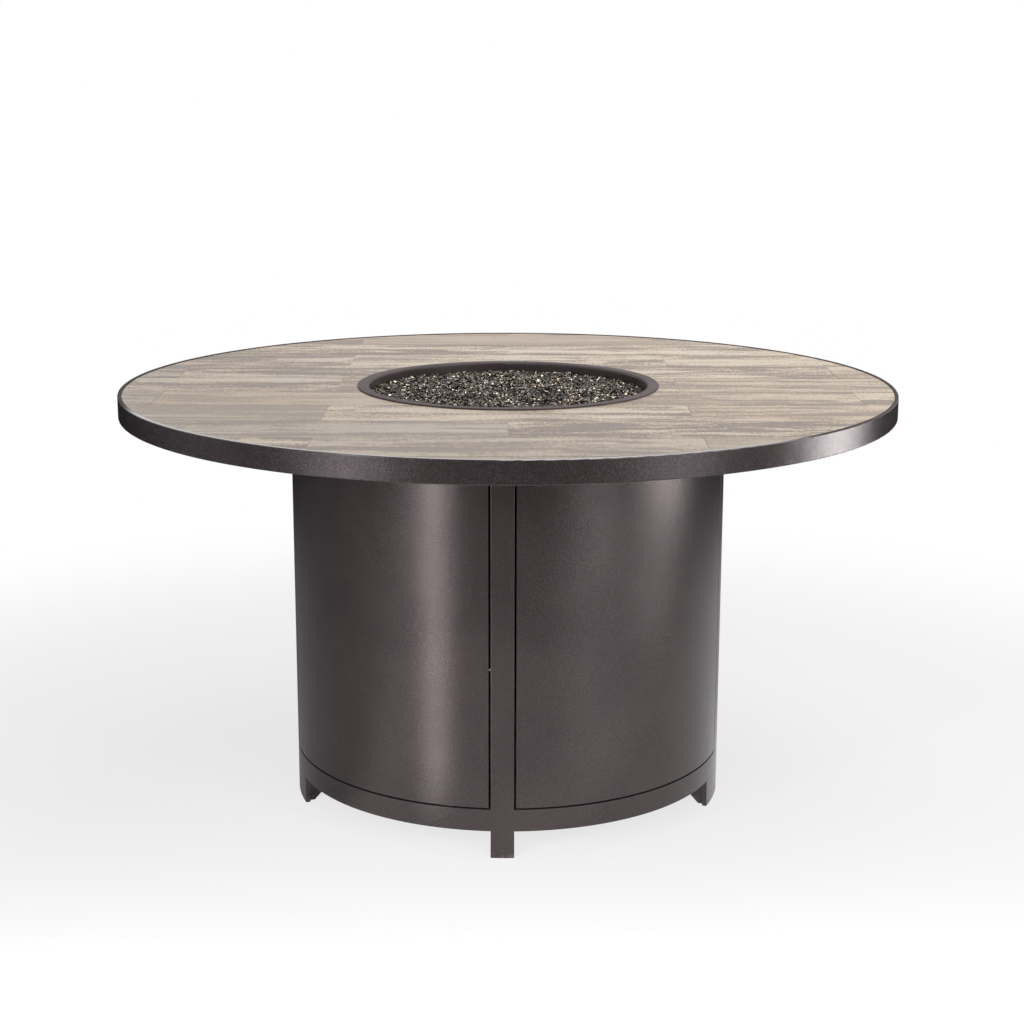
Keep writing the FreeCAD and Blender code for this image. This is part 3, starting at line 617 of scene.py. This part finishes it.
def buildBed(flangeTop, floorTop):
    top = flangeTop - glass["drop"] - glass["bedBelow"]
    low = floorTop + glass["bedLift"]
    roof = floorTop + glass["burnerHeight"]
    rings = glass["bedRings"]
    outline = [(glassReach * ring / rings, top) for ring in range(rings + 1)]
    outline += [(glassReach, floorTop + glass["bedRound"]),
                (glassReach - glass["bedRound"], low),
                (glass["burnerRadius"], low), (glass["burnerRadius"], roof), (0.0, roof)]
    bed = bmesh.new()
    corners = [bed.verts.new((x, 0, z)) for x, z in outline]
    edges = [bed.edges.new(pair) for pair in zip(corners, corners[1:])]
    bmesh.ops.spin(bed, geom=corners + edges, cent=(0, 0, 0), axis=(0, 0, 1), angle=math.tau,
                   steps=glass["bedSteps"], use_merge=True)
    bmesh.ops.remove_doubles(bed, verts=bed.verts[:], dist=glass["merge"])
    bmesh.ops.recalc_face_normals(bed, faces=bed.faces[:])
    sortByPlace(bed.verts, lambda vert: vert.co)
    sortByPlace(bed.faces, lambda face: face.calc_center_median())
    for vert in bed.verts:
        if vert.co.z > top - glass["close"]:
            vert.co.z += bedLevel(vert.co.x, vert.co.y)
    return bed


def dropChip(batch, shapes, dice, size, x, y, level):
    before = len(batch.verts)
    batch.from_mesh(shapes[dice.randrange(len(shapes))])
    batch.verts.ensure_lookup_table()
    fresh = batch.verts[before:]
    tilt = glass["tilt"]
    turn = Matrix.Rotation(dice.uniform(0, math.tau), 4, "Z")
    turn = turn @ Matrix.Rotation(dice.uniform(-tilt, tilt), 4, "X")
    turn = turn @ Matrix.Rotation(dice.uniform(-tilt, tilt), 4, "Y")
    shape = Matrix.Diagonal((size, size * dice.uniform(*glass["breadth"]),
                             size * dice.uniform(*glass["thickness"]), 1))
    height = level + bedLevel(x, y) + dice.uniform(*glass["lift"])
    bmesh.ops.transform(batch, matrix=Matrix.Translation((x, y, height)) @ turn @ shape,
                        verts=fresh)
    layer = batch.verts.layers.float["chipTone"]
    chipTone = dice.random() ** glass["toneBias"]
    for vert in fresh:
        vert[layer] = chipTone


def pourGlass():
    dice = random.Random(glass["seed"])
    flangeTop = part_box("burner_bowl")[1].z
    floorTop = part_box("burner_locknut")[0].z
    shapes = [chipShape(seed) for seed in range(glass["shapes"])]
    glassMesh = buildBed(flangeTop, floorTop)
    bedLayer = glassMesh.verts.layers.float.new("chipTone")
    # the bed takes that dark tone, painted shade between the chips
    for vert in glassMesh.verts:
        vert[bedLayer] = glass["bedShadeTone"]
    step, rowStep, jitter = glass["spacing"], glass["rowStep"], glass["jitter"]
    rows = int(glassReach / step / rowStep) + 1
    poured = 0
    for row in range(-rows, rows + 1):
        batch = bmesh.new()
        batch.verts.layers.float.new("chipTone")
        for column in range(-rows, rows + 1):
            x = (column + 0.5 * (row % 2)) * step + dice.uniform(-jitter, jitter) * step
            y = row * step * rowStep + dice.uniform(-jitter, jitter) * step
            size = dice.uniform(*glass["size"])
            if math.hypot(x, y) <= glassReach - size * glass["wallRoom"]:
                dropChip(batch, shapes, dice, size, x, y, flangeTop - glass["drop"])
                poured += 1
        flat = bpy.data.meshes.new("batch")
        batch.to_mesh(flat)
        batch.free()
        glassMesh.from_mesh(flat)
        bpy.data.meshes.remove(flat)
    mesh = bpy.data.meshes.new("fireGlassBed")
    glassMesh.to_mesh(mesh)
    glassMesh.free()
    obj = bpy.data.objects.new("fireGlassBed", mesh)
    bpy.context.scene.collection.objects.link(obj)
    mesh.materials.append(materials["fire_glass"])
    for shape in shapes:
        bpy.data.meshes.remove(shape)
    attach(obj, "table")
    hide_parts("fire_glass")
    print("glass chips:", poured, "faces:", len(mesh.polygons))


mounds = layMounds()
pourGlass()


studio = {
    "floorSize": 14.0,
    "floorSegments": 8,
    "floorShade": tone(236, 236, 236),
    "floorLift": (0.74, 1.00),  # white that the camera sees in it, near the table and far off
    "liftLine": (1.0, 2.2),  # distances from near to far
    # Eased steps of the white that the metal mirrors in the floor: two places and two shares
    "mirrorFade": (1.4, 3.0, 1.00, 0.03),  # by the distance
    "mirrorFront": (0.55, 1.4, 1.00, 0.55),  # by the distance, in front
    "mirrorSides": (-0.4, 0.4, 0.32, 0.90),  # from left to right, elsewhere
    "mirrorRear": (-1.0, -0.3, 0.50, 1.00),  # and from behind to the side
    "frontSpan": (0.45, 0.70),  # how far forward the front begins, against the distance
    "ambient": 0.12,
    "behindCamera": 0.20,  # how much of the white the metal mirrors from behind the camera
    "behindSpan": (-0.8, 0.2),
    "gleamWithin": 2.0,  # nearer strips only gleam on the metal and don't light matt surfaces
    "strips": [  # name, azimuth from the front (right is positive), distance, bottom, width,
        # height and power
        ("leftFront", -39, 3.2, 0.02, 0.25, 1.90, 26),
        ("leftBase", -23.5, 0.58, 0.02, 0.05, 0.67, 0.7),
        ("leftGlow", -43, 0.72, 0.02, 0.30, 0.62, 0.18),
        ("leftSide", -70, 1.3, 0.02, 0.45, 0.75, 0.2),
        ("rightBase", 36, 0.72, 0.02, 0.36, 0.52, 0.28),
        ("rightFront", 44, 3.2, 0.02, 0.35, 1.90, 21),
        ("rightLow", 68, 1.11, 0.10, 0.40, 0.42, 0.8),
        ("rightRim", 77, 1.11, 0.43, 0.24, 0.82, 8.5),
    ],
    "overhead": [  # name, place, width, depth and power
        ("ceiling", (0.9, 0.9, 3.2), 2.6, 2.6, 61),
        ("frontFloor", (0, -1.5, 0.62), 2.0, 0.9, 30),
    ],
    "sensor": 36.0,
    "lens": 68.3617,
    "camera": (0.07833, -3.43819, 1.29796),
    "yaw": 0.02067,
    "pitch": 0.22596,
    "roll": 0.00174,
}


def strengths(paint, kind, levels):  # white light of each strength
    return [paint.node(kind, {}, {"Color": (1, 1, 1, 1), "Strength": level}) for level in levels]


def buildFloor():
    floor = bmesh.new()
    bmesh.ops.create_grid(floor, x_segments=studio["floorSegments"],
                          y_segments=studio["floorSegments"], size=studio["floorSize"])
    mesh = bpy.data.meshes.new("studioFloor")
    floor.to_mesh(mesh)
    floor.free()
    obj = bpy.data.objects.new("studioFloor", mesh)
    bpy.context.scene.collection.objects.link(obj)
    paint = Paint(bpy.data.materials.new("studioFloor"))
    x, y = paint.parts(paint.place())[:2]
    far = (x * x + y * y) ** 0.5
    camera, mirror, through = paint.rays()
    matt = paint.node("ShaderNodeBsdfDiffuse", {}, {"Color": studio["floorShade"]})
    black, white = strengths(paint, "ShaderNodeEmission", (0.0, 1.0))
    lift = paint.between(far, *studio["liftLine"], *studio["floorLift"])
    lit = paint.blend(camera.apply("MAXIMUM", through) * lift, matt, white)
    ahead = -1.0 * y / far
    sides = paint.between(x / far, *studio["mirrorSides"])
    sides = sides * paint.between(ahead, *studio["mirrorRear"])
    front = paint.between(ahead, *studio["frontSpan"])
    mirrored = sides * (1 - front) + paint.between(far, *studio["mirrorFront"]) * front
    mirrored = mirrored * paint.between(far, *studio["mirrorFade"])
    gleam = paint.blend(mirrored, black, white)
    mesh.materials.append(paint.cover(paint.blend(mirror, lit, gleam)))


def buildWorld():
    world = bpy.data.worlds.new("studio")
    bpy.context.scene.world = world
    paint = Paint(world)
    camera, mirror, through = paint.rays()
    y = paint.parts(paint.node("ShaderNodeTexCoord", out="Generated"))[1]
    mirrored = mirror * paint.between(y, *studio["behindSpan"], studio["behindCamera"], 1.0)
    seen = camera.apply("MAXIMUM", mirrored).apply("MAXIMUM", through)
    dim, white = strengths(paint, "ShaderNodeBackground", (studio["ambient"], 1.0))
    paint.cover(paint.blend(seen, dim, white), "ShaderNodeOutputWorld")


def hangLamp(name, place, aim, width, tall, power, onMatt=True):
    light = bpy.data.lights.new(name, "AREA")
    light.shape = "RECTANGLE"
    light.size = width
    light.size_y = tall
    light.energy = power
    lamp = bpy.data.objects.new(name, light)
    lamp.location = place
    lamp.rotation_euler = (aim - place).to_track_quat("-Z", "Y").to_euler()
    lamp.visible_camera = False
    lamp.visible_diffuse = onMatt
    bpy.context.scene.collection.objects.link(lamp)


def hangLamps():
    for name, azimuth, distance, bottom, width, tall, power in studio["strips"]:
        around = math.radians(azimuth - 90)
        place = Vector((distance * math.cos(around), distance * math.sin(around),
                        bottom + tall / 2))
        hangLamp(name, place, Vector((0, 0, place.z)), width, tall, power,
                 distance > studio["gleamWithin"])
    for name, place, width, depth, power in studio["overhead"]:
        hangLamp(name, Vector(place), Vector((place[0], place[1], 0)), width, depth, power)


def placeCamera():
    data = bpy.data.cameras.new("camera")
    data.lens = studio["lens"]
    data.sensor_width = studio["sensor"]
    camera = bpy.data.objects.new("camera", data)
    turn = Matrix.Rotation(studio["yaw"], 4, "Z")
    turn = turn @ Matrix.Rotation(math.pi / 2 - studio["pitch"], 4, "X")
    turn = turn @ Matrix.Rotation(studio["roll"], 4, "Z")
    camera.matrix_world = Matrix.Translation(studio["camera"]) @ turn
    bpy.context.scene.collection.objects.link(camera)
    bpy.context.scene.camera = camera


buildFloor()
buildWorld()
hangLamps()
placeCamera()
bpy.context.scene.view_settings.view_transform = "Standard"
print("studio ready")
